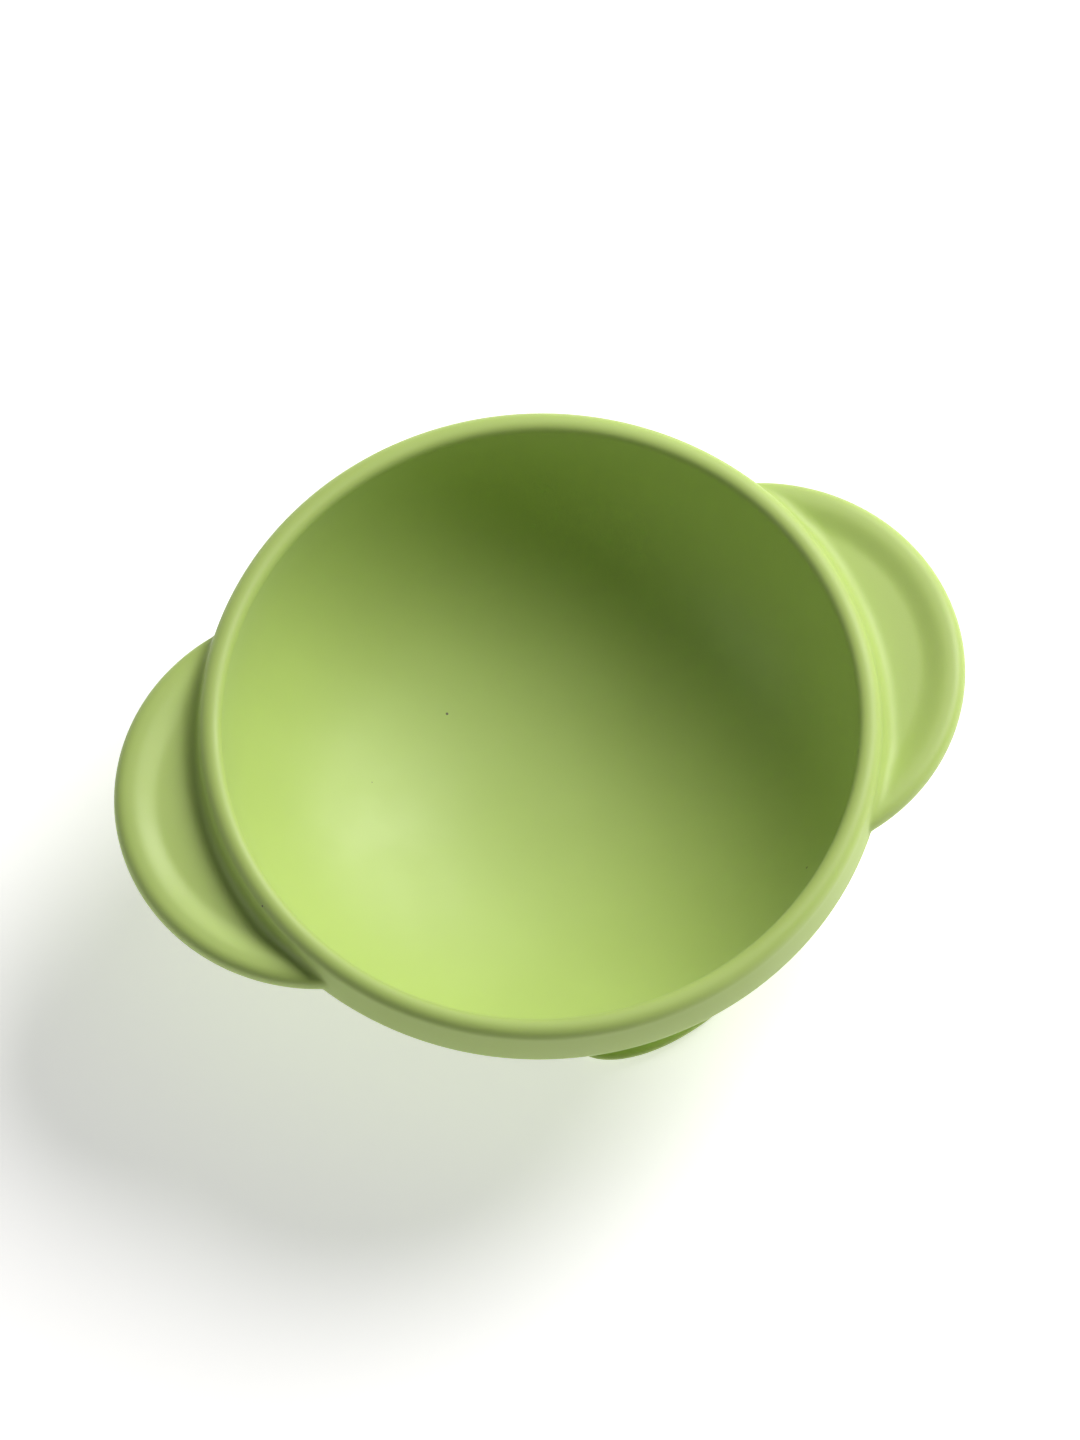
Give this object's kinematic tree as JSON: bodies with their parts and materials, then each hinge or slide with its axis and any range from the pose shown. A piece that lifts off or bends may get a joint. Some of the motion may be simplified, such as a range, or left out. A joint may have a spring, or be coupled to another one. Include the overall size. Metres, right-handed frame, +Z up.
{
  "type": "suction bowl",
  "caption": "Round soft silicone toddler bowl with a rolled rim and two half-moon ear tabs, on a plug-in suction foot with a peel tab.",
  "frame": {"origin": "on the table under the middle of the bowl", "axes": "+X through the right ear, +Z up; the release tab points to -Y, the user's side, turned 16 degrees towards +X"},
  "size_m": [0.1608, 0.1278, 0.054],
  "materials": {
    "silicone": "matte",
    "foot_silicone": "satin"
  },
  "bodies": {
    "lip": {"sealing_lip": "foot_silicone"},
    "foot": {"foot_plug": "foot_silicone", "suction_cone": "foot_silicone"},
    "bowl": {"bowl_shell": "silicone", "ear_left": "silicone", "ear_right": "silicone"},
    "tab": {"release_tab": "foot_silicone"}
  },
  "joints": [
    {"name": "cup_press", "type": "slide", "parent": "lip", "child": "foot", "axis": [0, 0, -1], "range_m": [0, 0.0022], "stiffness_N_per_m": 250, "springref_m": -0.006, "deforming": ["suction_cone"]},
    {"name": "bowl_lift_off", "type": "slide", "parent": "foot", "child": "bowl", "axis": [0, 0, 1], "range_m": [0, 0.03]},
    {"name": "tab_lift", "type": "hinge", "parent": "lip", "child": "tab", "pos_m": [0.01036, -0.03614, 0.00095], "axis": [-0.9613, -0.2756, 0], "range_deg": [0, 60], "stiffness_Nm_per_rad": 0.002, "springref_deg": -5.73}
  ]
}
